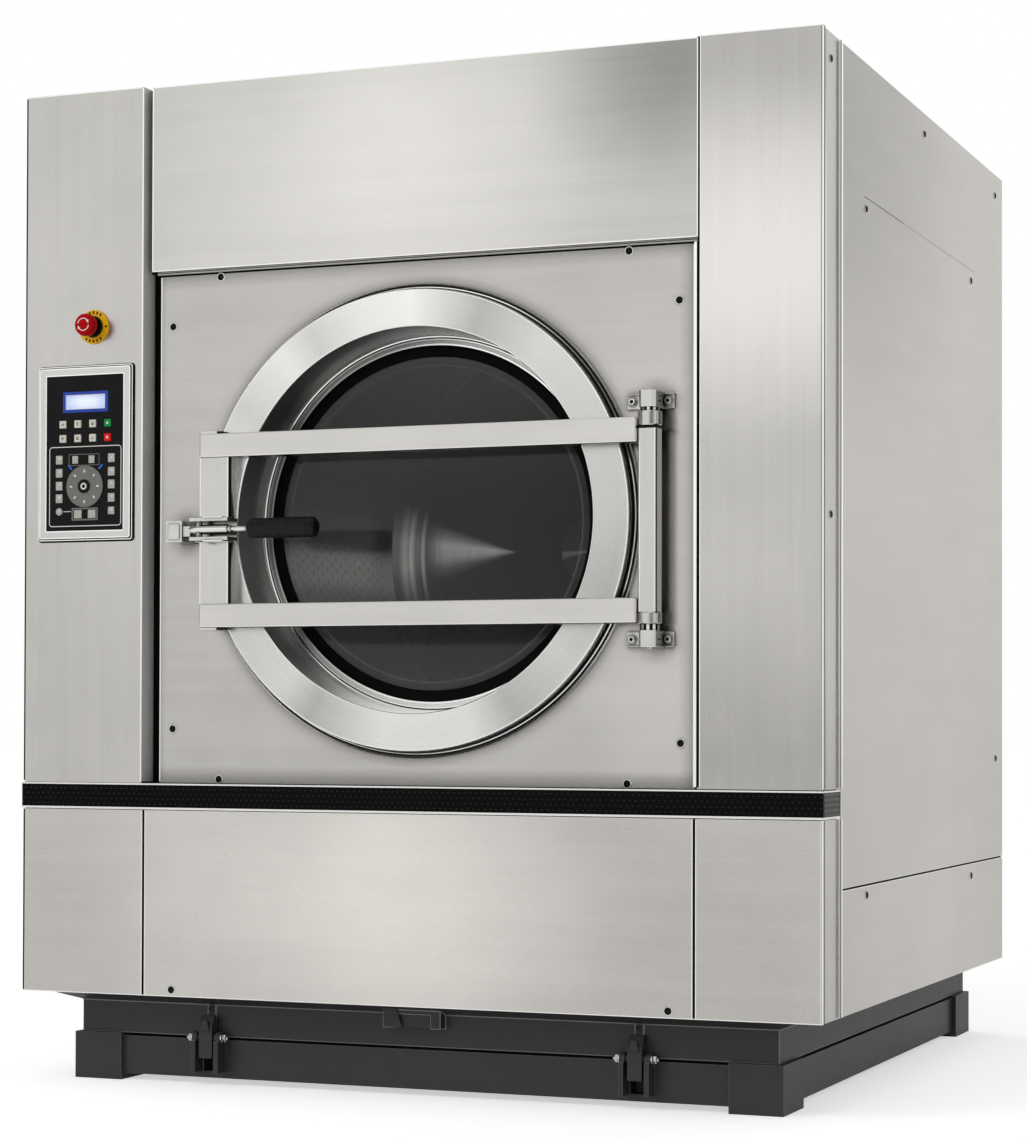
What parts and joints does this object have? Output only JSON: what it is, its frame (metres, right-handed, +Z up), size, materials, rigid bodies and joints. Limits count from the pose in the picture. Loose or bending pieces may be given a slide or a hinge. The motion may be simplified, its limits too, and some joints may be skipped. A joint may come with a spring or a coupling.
{
  "type": "washer-extractor",
  "caption": "Front-loading industrial washer-extractor: stainless cabinet with a barred round glass door, side control column, perforated black band and a clamped two-part base frame.",
  "frame": {"origin": "middle of the footprint, on the floor under the feet", "axes": "+Z up, the door faces -Y, +X to the right of someone who faces the door"},
  "size_m": [1.513, 1.538, 1.8],
  "materials": {
    "stainless_sheet": "brushed stainless sheet, fine straight grain, satin",
    "door_steel": "brushed stainless, grain round the door ring and along the bars",
    "polished_steel": "polished stainless",
    "drum_steel": "smooth stainless",
    "base_paint": "charcoal satin paint",
    "band_black": "black perforated strip, satin",
    "seal_rubber": "black rubber, matte",
    "door_glass": "dark glass, clear polish",
    "grip_black": "black fine-textured plastic",
    "stop_yellow": "yellow satin plastic",
    "stop_stem_black": "black satin plastic",
    "stop_red": "red gloss plastic",
    "keypad_black": "black satin film over the panel",
    "display_face": "pale blue lit display in a blue frame",
    "key_ivory": "ivory satin plastic",
    "key_green": "green satin plastic",
    "dial_grey": "grey satin plastic",
    "motor_paint": "blue-grey paint",
    "cast_iron": "machined and bare cast iron"
  },
  "bodies": {
    "cabinet": {"lower_frame": "base_paint", "upper_frame": "base_paint", "left_column": "stainless_sheet", "right_column": "stainless_sheet", "lower_left_panel": "stainless_sheet", "lower_front_panel": "stainless_sheet", "lower_right_panel": "stainless_sheet", "grille_band": "band_black", "fascia": "stainless_sheet", "front_panel": "stainless_sheet", "right_side_panel": "stainless_sheet", "left_side_panel": "stainless_sheet", "right_lower_side_panel": "stainless_sheet", "left_lower_side_panel": "stainless_sheet", "top_panel": "stainless_sheet", "rear_panel": "stainless_sheet", "water_inlets": "polished_steel", "cable_gland": "stop_stem_black", "surround_ring": "polished_steel", "hinge_bracket_top": "polished_steel", "hinge_bracket_bottom": "polished_steel", "lock_housing": "polished_steel", "stop_plate": "stop_yellow", "keypad_bezel": "stainless_sheet", "keypad_panel": "keypad_black", "display": "display_face", "tub": "drum_steel", "tub_front": "drum_steel", "tub_cradle": "base_paint", "mouth_seal": "seal_rubber", "motor": "motor_paint", "drive_belt": "seal_rubber"},
    "drum_rotor": {"drum": "drum_steel", "drum_shaft": "cast_iron"},
    "motor_rotor": {"motor_pulley": "cast_iron"},
    "door": {"door_ring": "door_steel", "door_well": "polished_steel", "door_gasket": "seal_rubber", "door_glass": "door_glass", "door_bar_top": "door_steel", "door_bar_bottom": "door_steel", "latch_channel": "door_steel", "hinge_tube": "door_steel", "latch_guide": "polished_steel"},
    "handle": {"latch_lever": "polished_steel", "handle_grip": "grip_black"},
    "bolt": {"lock_bolt": "polished_steel"},
    "stop_button": {"stop_stem": "stop_stem_black"},
    "stop_cap": {"stop_head": "stop_red"},
    "program_dial": {"dial": "dial_grey"},
    "left_hook": {"clamp_hook_left": "base_paint"},
    "right_hook": {"clamp_hook_right": "base_paint"},
    "key_1_button": {"key_1": "key_ivory"},
    "key_2_button": {"key_2": "key_ivory"},
    "key_3_button": {"key_3": "key_ivory"},
    "start_key_button": {"start_key": "key_green"},
    "key_4_button": {"key_4": "key_ivory"},
    "key_5_button": {"key_5": "key_ivory"},
    "key_6_button": {"key_6": "key_ivory"},
    "stop_key_button": {"stop_key": "stop_red"}
  },
  "joints": [
    {"name": "drum_spin", "type": "hinge", "parent": "cabinet", "child": "drum_rotor", "pos_m": [0.0175, -0.197, 1.004], "axis": [0, 1, 0], "continuous": true},
    {"name": "motor_spin", "type": "hinge", "parent": "cabinet", "child": "motor_rotor", "pos_m": [0.43, 0.453, 0.4], "axis": [0, 1, 0], "continuous": true},
    {"name": "door_swing", "type": "hinge", "parent": "cabinet", "child": "door", "pos_m": [0.459, -0.705, 0.992], "axis": [0, 0, 1], "range_deg": [0, 140]},
    {"name": "handle_swing", "type": "hinge", "parent": "door", "child": "handle", "pos_m": [-0.366, -0.751, 0.992], "axis": [0, 0, -1], "range_deg": [0, 75]},
    {"name": "bolt_slide", "type": "slide", "parent": "cabinet", "child": "bolt", "axis": [1, 0, 0], "range_m": [0, 0.028], "stiffness_N_per_m": 120},
    {"name": "stop_push", "type": "slide", "parent": "cabinet", "child": "stop_button", "axis": [0, 1, 0], "range_m": [0, 0.005], "stiffness_N_per_m": 900},
    {"name": "stop_twist", "type": "hinge", "parent": "stop_button", "child": "stop_cap", "pos_m": [-0.6115, -0.717, 1.37], "axis": [0, 1, 0], "range_deg": [0, 30], "stiffness_Nm_per_rad": 0.2},
    {"name": "dial_turn", "type": "hinge", "parent": "cabinet", "child": "program_dial", "pos_m": [-0.6265, -0.697, 1.08], "axis": [0, 1, 0], "continuous": true},
    {"name": "left_hook_swing", "type": "hinge", "parent": "cabinet", "child": "left_hook", "pos_m": [-0.397, -0.651, 0.085], "axis": [1, 0, 0], "range_deg": [0, 45]},
    {"name": "right_hook_swing", "type": "hinge", "parent": "cabinet", "child": "right_hook", "pos_m": [0.418, -0.651, 0.085], "axis": [1, 0, 0], "range_deg": [0, 45]},
    {"name": "key_1_press", "type": "slide", "parent": "cabinet", "child": "key_1_button", "axis": [0, 1, 0], "range_m": [0, 0.0015], "stiffness_N_per_m": 600},
    {"name": "key_2_press", "type": "slide", "parent": "cabinet", "child": "key_2_button", "axis": [0, 1, 0], "range_m": [0, 0.0015], "stiffness_N_per_m": 600},
    {"name": "key_3_press", "type": "slide", "parent": "cabinet", "child": "key_3_button", "axis": [0, 1, 0], "range_m": [0, 0.0015], "stiffness_N_per_m": 600},
    {"name": "start_key_press", "type": "slide", "parent": "cabinet", "child": "start_key_button", "axis": [0, 1, 0], "range_m": [0, 0.0015], "stiffness_N_per_m": 600},
    {"name": "key_4_press", "type": "slide", "parent": "cabinet", "child": "key_4_button", "axis": [0, 1, 0], "range_m": [0, 0.0015], "stiffness_N_per_m": 600},
    {"name": "key_5_press", "type": "slide", "parent": "cabinet", "child": "key_5_button", "axis": [0, 1, 0], "range_m": [0, 0.0015], "stiffness_N_per_m": 600},
    {"name": "key_6_press", "type": "slide", "parent": "cabinet", "child": "key_6_button", "axis": [0, 1, 0], "range_m": [0, 0.0015], "stiffness_N_per_m": 600},
    {"name": "stop_key_press", "type": "slide", "parent": "cabinet", "child": "stop_key_button", "axis": [0, 1, 0], "range_m": [0, 0.0015], "stiffness_N_per_m": 600}
  ],
  "couplings": [
    {"joint": "motor_spin", "follows": "drum_spin", "ratio": 4}
  ]
}
